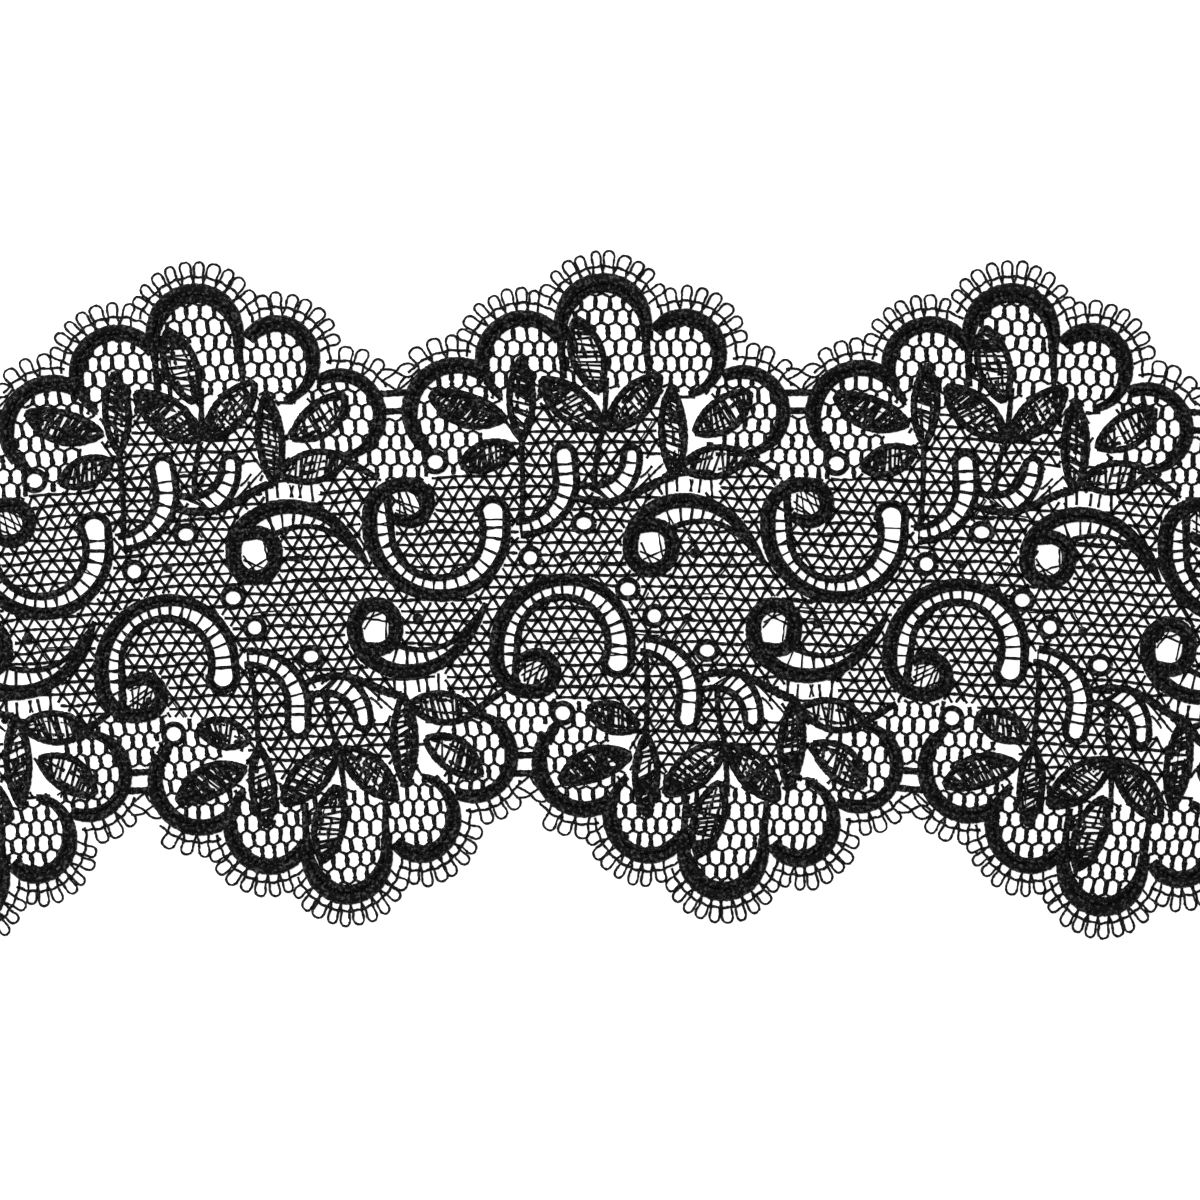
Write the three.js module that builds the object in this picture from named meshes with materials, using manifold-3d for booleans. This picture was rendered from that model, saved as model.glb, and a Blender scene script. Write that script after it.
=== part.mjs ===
// A cut length of wide guipure lace trim, lying flat, in millimetres with +Z up.
// X runs along the trim and Y across it, and the underside is the plane z = 0.
import * as THREE from "three";
import { mergeVertices } from "three/addons/utils/BufferGeometryUtils.js";
import Module from "manifold-3d";

const wasm = await Module();
wasm.setup();

// Driving dimensions of the trim
const REPEAT = 81.2; // one repeat of the pattern, three needle spaces of the embroidery machine
const BEND_RADIUS = 1605; // the trim lies in a slow curve, hollow side down
const CUT_LEFT = -126.5; // the two straight cut ends, measured from the middle of the curve
const CUT_RIGHT = 124.5;
const LOWER_SHIFT = 25.5; // how far the lower edge's motifs sit along from the upper edge's
const NET_THICKNESS = 1.0; // the net and the fringe
const CORD_THICKNESS = 1.8; // the satin cords, leaves and rings stand up to here
const GROUND_HALF_WIDTH = 41; // the ground reaches this far from the middle line between scallops

// The satin cord round each scallop, and the loops outside it
const SCALLOP_CORD = 3.6;
const CHAIN_OFFSET = 3.3; // middle of the cord to the chain that carries the loops
const PICOT_TIP = 6.4; // middle of the cord to the flat tips of the loops
const SHOULDER_SHARE = 0.22; // where a loop's two shoulders lie in its pitch
const PATCH_FOOT = 36; // each scallop's patch of net runs down to here, into the ground

// The hexagonal net inside the scallops, cut at twice the real pitch
const HEX_PITCH = 5.5;
const HEX_ROW = 4.8;
const HEX_WIDTH = 4.3;
const HEX_HEIGHT = 5.8;
const HEX_FIRST_ROW = 25.5;
const HEX_ROWS = 8;
const HEX_COLUMNS = 7;

// Points on each curve: straight pieces follow arcs in steps of at most this many degrees
const ARC_STEP = 46;
const SMALL_ARC_STEP = 61;
const SMALL_RADIUS = 6;
const NET_STRAIGHT = 0.1; // a point this near the line between its neighbours is left out
const CORD_STRAIGHT = 0.12;
const OPENING_STRAIGHT = 0.9;
const GROUND_STEPS = 12;
const OVERSHOOT = 8; // the ground is laid out this far past the cuts
const LEVEL = 0.01; // points this near in height are level

// The open work: its edges stay this far from the cords, and smaller openings are left closed
const MARGIN = 0.35;
const LEAST_OPENING = 12; // square millimetres
const FIELD_CORNERS = 9;

// Where each motif sits: side 1 is the upper edge and -1 the lower one, which mirrors it.
// along is in repeats, and turn is how far the cloth has been pulled round there, in degrees.
const MOTIFS = [
  { side: 1, along: -2, turn: 0 },
  { side: 1, along: -1, turn: 0 },
  { side: 1, along: 0, turn: 0 },
  { side: 1, along: 1, turn: 0 },
  { side: 1, along: 2, turn: 0 },
  { side: -1, along: -2, turn: 2 },
  { side: -1, along: -1, turn: 3 },
  { side: -1, along: 0, turn: 0 },
  { side: -1, along: 1, turn: -1 },
];

// All tables below are for an upper motif: u runs along the trim from the place where its
// middle leaves meet, and v across it from the trim's middle line.
const LEAF_MEETING = [-0.5, 32];

// The five scallops, as parts of ellipses: the cord runs from one angle to the other,
// and the loops stand on the part that is open to the outside.
const SCALLOPS = [
  { u: -30, v: 36, ru: 9.5, rv: 10, from: 58, to: 214, loops: 4, firstLoop: 72, lastLoop: 129 },
  { u: -16.5, v: 46.5, ru: 8.5, rv: 9, from: 28, to: 186, loops: 7, firstLoop: 72, lastLoop: 163 },
  { u: -0.5, v: 53, ru: 8.5, rv: 9, from: -10, to: 190, loops: 10, firstLoop: 29, lastLoop: 152 },
  { u: 15.5, v: 47.5, ru: 7, rv: 8, from: -82, to: 142, loops: 7, firstLoop: 13, lastLoop: 109 },
  { u: 27.5, v: 36, ru: 8, rv: 8.5, from: -84, to: 120, loops: 3, firstLoop: 43, lastLoop: 89 },
];

// Leaves: from foot to tip, with the greatest width and how far the belly leans to the left.
const LEAVES = [
  { foot: [-20, 34.5], tip: [-35.5, 40], width: 7.5, lean: 0.8 },
  { foot: [-17, 30], tip: [-17, 47.3], width: 6.2, lean: 0 },
  { foot: [-0.5, 32], tip: [-13.2, 42.8], width: 8, lean: 0 },
  { foot: [-1.6, 40.3], tip: [-6, 55.5], width: 7.6, lean: 0 },
  { foot: [0.2, 32.2], tip: [11, 43.8], width: 7.6, lean: -0.2 },
  { foot: [14, 22], tip: [13, 41.5], width: 6.2, lean: 0 },
  { foot: [17.6, 30.3], tip: [28.6, 40.5], width: 6.3, lean: -0.1 },
  { foot: [15, 24.5], tip: [29, 27], width: 7.4, lean: 0 },
  { foot: [-18.5, 29], tip: [-29.5, 25], width: 7, lean: 0 },
];

const LEAF_SHARES = [0.3, 0.7]; // where along a leaf its sides turn
const LEAF_FULLNESS = 0.75; // below 1 the leaf is fuller near its ends

// Rings and knots. A ring only on the upper edge fills the place between the two halves.
const RINGS = [
  { u: -34, v: 26, across: 5.4, upperOnly: false },
  { u: -4.5, v: 13, across: 5, upperOnly: false },
  { u: -15.5, v: 6, across: 5, upperOnly: false },
  { u: 4.5, v: -0.5, across: 5.4, upperOnly: true },
];
const RING_CORNERS = 5;

// The larger gaps between the pieces of the motif, each cut as a polygon on an ellipse.
const GAPS = [
  { u: -22, v: 31.6, length: 4.4, height: 3.2, corners: 3, turn: 60 },
  { u: 18.6, v: 36.4, length: 4.4, height: 3, corners: 4, turn: 80 },
  { u: -23.2, v: 15.4, length: 3, height: 5, corners: 4, turn: 0 },
  { u: 40.6, v: 27.2, length: 4.4, height: 4, corners: 4, turn: 20 },
  { u: -40.6, v: 17.4, length: 4.6, height: 4.2, corners: 5, turn: 18 },
  { u: 9, v: 7.6, length: 4.4, height: 4.8, corners: 5, turn: 18 },
];

// A stroke is a cord that runs from a start along arcs and straight runs. Left turns are
// positive, and each width is the cord's width where that arc or run ends.
const arc = (radius, turn, width) => ({ radius, turn, width });
const run = (length, width) => ({ length, width });

const STROKES = {
  bigScroll: {
    start: [-43.5, 15.2],
    heading: -40,
    width: 2.1,
    legs: [
      arc(5.5, 40, 3.0),
      arc(3.8, 180, 3.1),
      run(1.2, 3.1),
      arc(7, 90, 3.3),
      run(1.5, 3.3),
      arc(14.5, 90, 2.7),
      arc(13.4, 90, 1.9),
      run(3.4, 1.7),
      arc(2.8, 180, 1.7),
    ],
  },
  bigScrollInner: {
    start: [-44, 18.6],
    heading: -88,
    width: 1.8,
    legs: [run(8, 1.6), arc(9.3, 88, 1.7), arc(9.4, 90, 1.7), arc(12, 23, 1.7)],
  },
  overScroll: {
    start: [7.5, 11.2],
    heading: 40,
    width: 1.6,
    legs: [
      arc(4, -40, 2.6),
      arc(3.5, -90, 3.1),
      run(1, 3.1),
      arc(4.3, -180, 3.3),
      run(0.8, 3.3),
      arc(8.1, -45, 3.4),
      arc(12.2, -45, 3.2),
      arc(15, -46, 2.5),
      arc(28, -18, 1.4),
      run(1.4, 1),
    ],
  },
  vine: {
    start: [-7, 18.8],
    heading: -26,
    width: 1.5,
    legs: [arc(14, 54, 1.8), run(5, 1.9), arc(9, -24, 1.6)],
  },
  leafStem: { start: [-17, 30.3], heading: -88, width: 1.3, legs: [arc(64, -24, 1.3)] },
  shoulder: { start: [29, 26.7], heading: -32, width: 1.8, legs: [run(7.2, 1.4)] },
  firstTail: { start: [-38.2, 31.9], heading: -56, width: 3, legs: [run(4.6, 1.9)] },
  secondTail: { start: [-24.7, 46.8], heading: -88, width: 3, legs: [arc(14, 42, 1.4)] },
  leftLeg: { start: [-8.7, 54], heading: -92, width: 3, legs: [arc(62, 10, 1.4)] },
  rightLeg: { start: [7.8, 55], heading: -82, width: 3, legs: [run(11.5, 1.4)] },
  upperBridge: { start: [34.5, 40.2], heading: 2, width: 1.4, legs: [run(7.5, 1.4)] },
  lowerBridge: { start: [34.5, 36.5], heading: 2, width: 1.4, legs: [run(7.5, 1.4)] },
};

// The two hooks are each two cords with a ladder of bars between, raised here as one band.
const HOOKS = {
  leftHook: { start: [-18.5, 12.4], heading: 0, width: 4.5, legs: [arc(10, 90, 5.5), run(4.6, 6), run(1.9, 3.4)] },
  rightHook: {
    start: [-5.5, 22],
    heading: -50,
    width: 3,
    legs: [arc(8, 45, 4.5), arc(7.6, 80, 5.5), run(2.6, 6), run(1.9, 3.4)],
  },
};

const toRadians = THREE.MathUtils.degToRad;

// Lays the straight pattern along the slow curve of the trim.
function bend(along, across) {
  const angle = along / BEND_RADIUS;
  const reach = BEND_RADIUS + across;
  return new THREE.Vector2(reach * Math.sin(angle), reach * Math.cos(angle) - BEND_RADIUS);
}

// Carries a point of the motif to its place on the trim.
function place([u, v], motif) {
  const spun = new THREE.Vector2(u, v);
  spun.rotateAround(new THREE.Vector2(...LEAF_MEETING), -toRadians(motif.turn));
  const shift = motif.side > 0 ? 0 : LOWER_SHIFT;
  return bend(motif.along * REPEAT + shift + spun.x, motif.side * spun.y);
}

// A flat plate of the given shape, from one height up to another.
function plate(shape, bottom, top) {
  const geometry = new THREE.ExtrudeGeometry(shape, { depth: top - bottom, bevelEnabled: false });
  geometry.translate(0, 0, bottom);
  geometry.deleteAttribute("normal");
  geometry.deleteAttribute("uv");
  const merged = mergeVertices(geometry);
  const vertProperties = new Float32Array(merged.attributes.position.array);
  const triVerts = new Uint32Array(merged.index.array);
  return new wasm.Manifold(new wasm.Mesh({ numProp: 3, vertProperties, triVerts }));
}

// Joins many solids, two and two.
function join(solids) {
  let left = solids;
  while (left.length > 1) {
    const next = [];
    for (let i = 0; i < left.length; i += 2) {
      next.push(i + 1 < left.length ? left[i].add(left[i + 1]) : left[i]);
    }
    left = next;
  }
  return left[0];
}

// The edges of a joined plate's underside, chained into closed loops of points.
function edgeLoops(solid) {
  const { vertProperties, triVerts } = solid.getMesh();
  const corner = (index) => new THREE.Vector3().fromArray(vertProperties, index * 3);
  const floor = solid.boundingBox().min[2] + LEVEL;
  const sides = new Map();
  for (let i = 0; i < triVerts.length; i += 3) {
    const triangle = [...triVerts.slice(i, i + 3)];
    if (triangle.some((index) => corner(index).z > floor)) continue;
    triangle.forEach((index, j) => sides.set(`${index} ${triangle[(j + 1) % 3]}`, [index, triangle[(j + 1) % 3]]));
  }
  const onward = new Map();
  for (const [from, to] of sides.values()) {
    if (sides.has(`${to} ${from}`)) continue;
    onward.set(from, [...(onward.get(from) ?? []), to]);
  }
  const loops = [];
  for (const start of onward.keys()) {
    while (onward.get(start).length > 0) {
      const loop = [];
      let index = start;
      do {
        loop.push(new THREE.Vector2(corner(index).x, corner(index).y));
        index = onward.get(index).pop();
      } while (index !== start);
      loops.push(loop);
    }
  }
  return loops;
}

// A loop without the points that lie this near to the line between their neighbours.
function straighten(loop, within) {
  const kept = [];
  loop.forEach((point, i) => {
    const before = kept[kept.length - 1] ?? loop[loop.length - 1];
    const way = loop[(i + 1) % loop.length].clone().sub(before);
    const aside = Math.abs(way.cross(point.clone().sub(before))) / way.length();
    if (aside > within) kept.push(point);
  });
  return kept;
}

// The shapes of a joined plate, each an outer edge with the holes inside it. Patches and
// holes smaller than the least area are left out, and edges are straightened.
function shapesOf(solid, leastArea, within) {
  const loops = edgeLoops(solid).map((loop) => straighten(loop, within));
  const sized = loops.filter((loop) => Math.abs(THREE.ShapeUtils.area(loop)) > leastArea);
  const outers = sized.filter((loop) => THREE.ShapeUtils.area(loop) < 0).map((loop) => new THREE.Shape(loop));
  for (const hole of sized.filter((loop) => THREE.ShapeUtils.area(loop) > 0)) {
    const around = outers.filter((outer) => contains(outer.getPoints(), hole[0]));
    around.sort((a, b) => Math.abs(THREE.ShapeUtils.area(a.getPoints())) - Math.abs(THREE.ShapeUtils.area(b.getPoints())));
    around[0].holes.push(new THREE.Path(hole));
  }
  return outers;
}

// Whether a point lies inside a closed loop.
function contains(loop, point) {
  let inside = false;
  loop.forEach((a, i) => {
    const b = loop[(i + loop.length - 1) % loop.length];
    const crosses = a.y > point.y !== b.y > point.y;
    if (crosses && point.x < ((b.x - a.x) * (point.y - a.y)) / (b.y - a.y) + a.x) inside = !inside;
  });
  return inside;
}

// The points of an ellipse between two angles.
function ellipse(centre, ru, rv, from, to, steps) {
  const points = [];
  for (let i = 0; i <= steps; i++) {
    const angle = toRadians(THREE.MathUtils.lerp(from, to, i / steps));
    points.push([centre[0] + ru * Math.cos(angle), centre[1] + rv * Math.sin(angle)]);
  }
  return points;
}

// Walks a stroke and gives its two sides as one outline.
function band(stroke) {
  let [u, v] = stroke.start;
  let heading = toRadians(stroke.heading);
  let width = stroke.width;
  const left = [];
  const right = [];
  const mark = () => {
    const offset = [(-Math.sin(heading) * width) / 2, (Math.cos(heading) * width) / 2];
    left.push([u + offset[0], v + offset[1]]);
    right.push([u - offset[0], v - offset[1]]);
  };
  mark();
  for (const leg of stroke.legs) {
    const from = width;
    const straight = leg.length !== undefined;
    const step = leg.radius < SMALL_RADIUS ? SMALL_ARC_STEP : ARC_STEP;
    const steps = straight ? 1 : Math.ceil(Math.abs(leg.turn) / step);
    for (let i = 1; i <= steps; i++) {
      const turn = straight ? 0 : toRadians(leg.turn / steps);
      const chord = straight ? leg.length : 2 * leg.radius * Math.sin(Math.abs(turn) / 2);
      u += chord * Math.cos(heading + turn / 2);
      v += chord * Math.sin(heading + turn / 2);
      heading += turn;
      width = THREE.MathUtils.lerp(from, leg.width, i / steps);
      mark();
    }
  }
  return [...left, ...right.reverse()];
}

// A leaf's outline, pointed at both ends, fullest in the middle.
function leafOutline({ foot, tip, width, lean }) {
  const way = [tip[0] - foot[0], tip[1] - foot[1]];
  const length = Math.hypot(...way);
  const side = (share, sign) => {
    const swell = Math.sin(Math.PI * share);
    const offset = (sign * width * swell ** LEAF_FULLNESS) / 2 + lean * swell;
    return [foot[0] + way[0] * share - (way[1] * offset) / length, foot[1] + way[1] * share + (way[0] * offset) / length];
  };
  const left = LEAF_SHARES.map((share) => side(share, 1));
  const right = LEAF_SHARES.map((share) => side(share, -1)).reverse();
  return [foot, ...left, tip, ...right];
}

// One scallop's patch of net, from the ground out to the chain, with its loops as teeth.
function scallopPatch({ u, v, ru, rv, loops, firstLoop, lastLoop }) {
  const reach = (angle, offset) => {
    const turn = toRadians(angle);
    return [u + (ru + offset) * Math.cos(turn), v + (rv + offset) * Math.sin(turn)];
  };
  const pitch = (lastLoop - firstLoop) / loops;
  const outline = [];
  for (let i = 0; i < loops; i++) {
    const start = firstLoop + i * pitch;
    outline.push(reach(start, CHAIN_OFFSET));
    outline.push(reach(start + pitch * SHOULDER_SHARE, PICOT_TIP));
    outline.push(reach(start + pitch * (1 - SHOULDER_SHARE), PICOT_TIP));
  }
  const half = SCALLOP_CORD / 2;
  outline.push(reach(lastLoop, CHAIN_OFFSET));
  outline.push(reach((lastLoop + 180) / 2, half), reach(180, half), [u - ru - half, PATCH_FOOT]);
  outline.push([u + ru + half, PATCH_FOOT], reach(0, half), reach(firstLoop / 2, half));
  return outline;
}

// The six corners of one mesh of the net.
function hexagon(centre) {
  const [half, tall] = [HEX_WIDTH / 2, HEX_HEIGHT / 2];
  const corners = [[half, tall / 2], [0, tall], [-half, tall / 2], [-half, -tall / 2], [0, -tall], [half, -tall / 2]];
  return corners.map(([u, v]) => [centre[0] + u, centre[1] + v]);
}

// A gap of the real lace, as a polygon on an ellipse.
function gapOutline({ u, v, length, height, corners, turn }) {
  const points = ellipse([0, 0], length / 2, height / 2, 0, 360, corners).slice(1);
  const angle = toRadians(turn);
  return points.map(([x, y]) => [
    u + x * Math.cos(angle) - y * Math.sin(angle),
    v + x * Math.sin(angle) + y * Math.cos(angle),
  ]);
}

// The meshes of the net whose middles lie inside one motif's scallops.
function netMeshes() {
  const meshes = [];
  for (let row = 0; row < HEX_ROWS; row++) {
    for (let column = -HEX_COLUMNS; column <= HEX_COLUMNS; column++) {
      const [u, v] = [(column + (row % 2) / 2) * HEX_PITCH, HEX_FIRST_ROW + row * HEX_ROW];
      const inside = SCALLOPS.some((rim) => Math.hypot((u - rim.u) / rim.ru, (v - rim.v) / rim.rv) < 1);
      if (inside) meshes.push(hexagon([u, v]));
    }
  }
  return meshes;
}

// A scallop's cord, as the band between two ellipses.
function scallopCord({ u, v, ru, rv, from, to }) {
  const half = SCALLOP_CORD / 2;
  const steps = Math.ceil((to - from) / ARC_STEP);
  const outer = ellipse([u, v], ru + half, rv + half, from, to, steps);
  const inner = ellipse([u, v], ru - half, rv - half, to, from, steps);
  return [...outer, ...inner];
}

// The part of a scallop where the net may be open, inside its cord.
function openField({ u, v, ru, rv }) {
  const inset = SCALLOP_CORD / 2 + MARGIN;
  return ellipse([u, v], ru - inset, rv - inset, 0, 360, FIELD_CORNERS).slice(1);
}

// Every outline of every motif, carried to its place on the trim
const cords = [];
const ground = [];
const meshes = [];
const fields = [];
const covered = [];
const gaps = [];
for (const motif of MOTIFS) {
  const carry = (outline) => new THREE.Shape(outline.map((point) => place(point, motif)));
  const rings = RINGS.filter((ring) => motif.side > 0 || !ring.upperOnly);
  const bands = [...Object.values(STROKES), ...Object.values(HOOKS)].map(band);
  const discs = rings.map(({ u, v, across }) => ellipse([u, v], across / 2, across / 2, 0, 360, RING_CORNERS).slice(1));
  cords.push(...[...bands, ...discs, ...SCALLOPS.map(scallopCord), ...LEAVES.map(leafOutline)].map(carry));
  ground.push(...SCALLOPS.map(scallopPatch).map(carry));
  meshes.push(...netMeshes().map(carry));
  fields.push(...SCALLOPS.map(openField).map(carry));
  const wider = LEAVES.map((leaf) => leafOutline({ ...leaf, width: leaf.width + MARGIN * 2 }));
  const legs = [STROKES.secondTail, STROKES.leftLeg, STROKES.rightLeg];
  covered.push(...[...wider, ...legs.map((leg) => band({ ...leg, width: leg.width + MARGIN * 2 }))].map(carry));
  gaps.push(...GAPS.map(gapOutline).map(carry));
}

// The ground between the two edges, in steps short enough for the curve
const stations = [];
for (let i = 0; i <= GROUND_STEPS; i++) {
  stations.push(THREE.MathUtils.lerp(CUT_LEFT - OVERSHOOT, CUT_RIGHT + OVERSHOOT, i / GROUND_STEPS));
}
const lowerSide = stations.map((along) => bend(along, -GROUND_HALF_WIDTH));
const upperSide = stations.map((along) => bend(along, GROUND_HALF_WIDTH)).reverse();
ground.push(new THREE.Shape([...lowerSide, ...upperSide]));

// Joins flat shapes between two heights
const joined = (shapes, bottom, top) => join(shapes.map((shape) => plate(shape, bottom, top)));
const openings = joined(meshes, 0, 1).intersect(joined(fields, 0, 1)).subtract(joined(covered, 0, 1));
const openShapes = [...shapesOf(openings, LEAST_OPENING, OPENING_STRAIGHT), ...gaps];
const groundShapes = shapesOf(joined(ground, 0, 1), LEAST_OPENING, NET_STRAIGHT);
const cordShapes = shapesOf(joined(cords, 0, 1), 0, CORD_STRAIGHT);
const net = joined(groundShapes, 0, NET_THICKNESS).subtract(joined(openShapes, -1, NET_THICKNESS + 1));
const relief = joined(cordShapes, NET_THICKNESS / 2, CORD_THICKNESS);

// The two ends are cut straight across, between two blades wider than the trim
const blade = REPEAT * 2;
const corners = [[CUT_LEFT, -blade], [CUT_RIGHT, -blade], [CUT_RIGHT, blade], [CUT_LEFT, blade]];
const between = plate(new THREE.Shape(corners.map(([x, y]) => new THREE.Vector2(x, y))), -1, CORD_THICKNESS + 1);
const solid = net.add(relief).intersect(between);

const { vertProperties, triVerts } = solid.getMesh();
const geometry = new THREE.BufferGeometry();
geometry.setAttribute("position", new THREE.BufferAttribute(new Float32Array(vertProperties), 3));
geometry.setIndex(new THREE.BufferAttribute(new Uint32Array(triVerts), 1));

// The origin is under the middle of the trim's box
geometry.computeBoundingBox();
const middle = geometry.boundingBox.getCenter(new THREE.Vector3());
geometry.translate(-middle.x, -middle.y, 0);
geometry.computeVertexNormals();

const thread = new THREE.MeshStandardMaterial({ color: 0x17171a, roughness: 0.75, metalness: 0 });
const lace = new THREE.Mesh(geometry, thread);
lace.name = "lace";

const trim = new THREE.Group();
trim.add(lace);

export default trim;
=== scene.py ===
import math

import bpy
import numpy as np
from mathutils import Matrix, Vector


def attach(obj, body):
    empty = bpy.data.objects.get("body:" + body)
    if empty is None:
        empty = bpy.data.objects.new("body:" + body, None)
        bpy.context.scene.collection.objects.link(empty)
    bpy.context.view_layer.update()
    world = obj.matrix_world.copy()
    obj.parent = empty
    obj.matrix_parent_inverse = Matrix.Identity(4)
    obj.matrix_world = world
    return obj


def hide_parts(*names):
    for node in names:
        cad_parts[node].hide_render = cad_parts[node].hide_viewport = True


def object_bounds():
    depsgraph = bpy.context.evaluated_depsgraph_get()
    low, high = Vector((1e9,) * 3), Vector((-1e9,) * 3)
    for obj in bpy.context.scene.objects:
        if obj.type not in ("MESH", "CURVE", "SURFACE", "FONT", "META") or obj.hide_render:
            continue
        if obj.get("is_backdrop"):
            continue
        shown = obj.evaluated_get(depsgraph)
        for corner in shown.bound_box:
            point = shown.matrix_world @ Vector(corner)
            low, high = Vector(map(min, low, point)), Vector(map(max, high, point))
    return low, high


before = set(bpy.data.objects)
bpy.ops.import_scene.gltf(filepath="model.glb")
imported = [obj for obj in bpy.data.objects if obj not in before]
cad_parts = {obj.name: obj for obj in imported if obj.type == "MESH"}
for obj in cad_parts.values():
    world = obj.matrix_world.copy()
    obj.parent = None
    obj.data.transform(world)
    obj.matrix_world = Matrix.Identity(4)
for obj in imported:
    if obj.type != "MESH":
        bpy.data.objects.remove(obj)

cad_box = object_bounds()

# The cord round each scallop
# Both edges of the lace are drawn by a heavy satin cord in two ridges, a broad one outside and
# a narrow one inside, stitched over a core in black rayon. Like all that follows it is made in
# one go by the embroidery machine, on a ground that is dissolved afterwards.
MM = 0.001
REPEAT = 81.2  # along the trim, in millimetres as every size of the pattern
BEND_RADIUS = 1605
CUT_LEFT = -126.5
CUT_RIGHT = 124.5
CUT_MIDDLE = (CUT_LEFT + CUT_RIGHT) / 2
LOWER_SHIFT = 25.5
MIDDLE_LINE = 2.097  # the pattern's middle line runs this far above the middle of the trim's box
LEAF_MEETING = np.array([-0.5, 32.0])
MOTIFS = [
    {"side": 1, "along": -2, "turn": 0},
    {"side": 1, "along": -1, "turn": 0},
    {"side": 1, "along": 0, "turn": 0},
    {"side": 1, "along": 1, "turn": 0},
    {"side": 1, "along": 2, "turn": 0},
    {"side": -1, "along": -2, "turn": 2},
    {"side": -1, "along": -1, "turn": 3},
    {"side": -1, "along": 0, "turn": 0},
    {"side": -1, "along": 1, "turn": -1},
]
SCALLOPS = [
    {"u": -30, "v": 35.8, "ru": 9.5, "rv": 10, "from": 58, "to": 214},
    {"u": -16.4, "v": 46.4, "ru": 8.3, "rv": 8.9, "from": 28, "to": 186},
    {"u": -0.5, "v": 53, "ru": 8.5, "rv": 9.5, "from": -10, "to": 190},
    {"u": 15.5, "v": 47.5, "ru": 7.2, "rv": 8, "from": -82, "to": 142},
    {"u": 27.5, "v": 36, "ru": 8.2, "rv": 8.4, "from": -84, "to": 120},
]
SCALLOP_CORDS = [  # the cord's full width, its width at both ends, and the degrees over which it grows
    {"full": 3.5, "start": 3.4, "end": 2.4, "start_over": 20, "end_over": 40},
    {"full": 3.4, "start": 2.6, "end": 3, "start_over": 30, "end_over": 25},
    {"full": 4.1, "start": 2.1, "end": 2.4, "start_over": 60, "end_over": 50},
    {"full": 3.6, "start": 1.5, "end": 2.8, "start_over": 105, "end_over": 25},
    {"full": 3.0, "start": 1.5, "end": 2.5, "start_over": 60, "end_over": 30},
]
OUTER_SHARE = 0.62  # the broad ridge's share of a double cord's width, and the narrow one's
INNER_SHARE = 0.44
OUTER_HEIGHT = 1  # as shares of the height and level below
INNER_HEIGHT = 0.82
FULL_CORD = 3  # a narrower cord is lower as well
SATIN_STEP = 0.3  # between two stitches that the mesh follows
RIDGE_HEIGHT = 0.78
RIDGE_LEVEL = 0.86
RIDGE_SIDES = 8
WIDTH_UNEVEN = 0.05  # how uneven the satin is, as a share of its width and its height
HEIGHT_UNEVEN = 0.04

dice = np.random.default_rng(27)


def bend(along, across):
    """Lays the straight pattern along the slow curve of the trim, and gives metres in the frame."""
    angle = np.asarray(along) / BEND_RADIUS
    reach = BEND_RADIUS + np.asarray(across)
    x = reach * np.sin(angle) - CUT_MIDDLE
    y = reach * np.cos(angle) - BEND_RADIUS + MIDDLE_LINE
    return np.stack([x, y], axis=-1) * MM


def spin(points, degrees):
    """Turns points of the motif to the left about the place where its leaves meet."""
    turn = math.radians(degrees)
    matrix = np.array([[math.cos(turn), math.sin(turn)], [-math.sin(turn), math.cos(turn)]])
    return (points - LEAF_MEETING) @ matrix + LEAF_MEETING


def motif_start(motif):
    """How far along the straight trim a motif's own middle stands."""
    return motif["along"] * REPEAT + (0 if motif["side"] > 0 else LOWER_SHIFT)


def place(points, motif):
    """Carries points of the motif to their place on the trim."""
    spun = spin(np.asarray(points, float), -motif["turn"])
    return bend(motif_start(motif) + spun[:, 0], motif["side"] * spun[:, 1])


def stretches(keep, least):
    """The start and end of each unbroken stretch of points that are kept, if it has so many."""
    edges = np.flatnonzero(np.diff(np.concatenate([[0], keep.astype(int), [0]])))
    return [(start, end) for start, end in zip(edges[::2], edges[1::2]) if end - start >= least]


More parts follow.
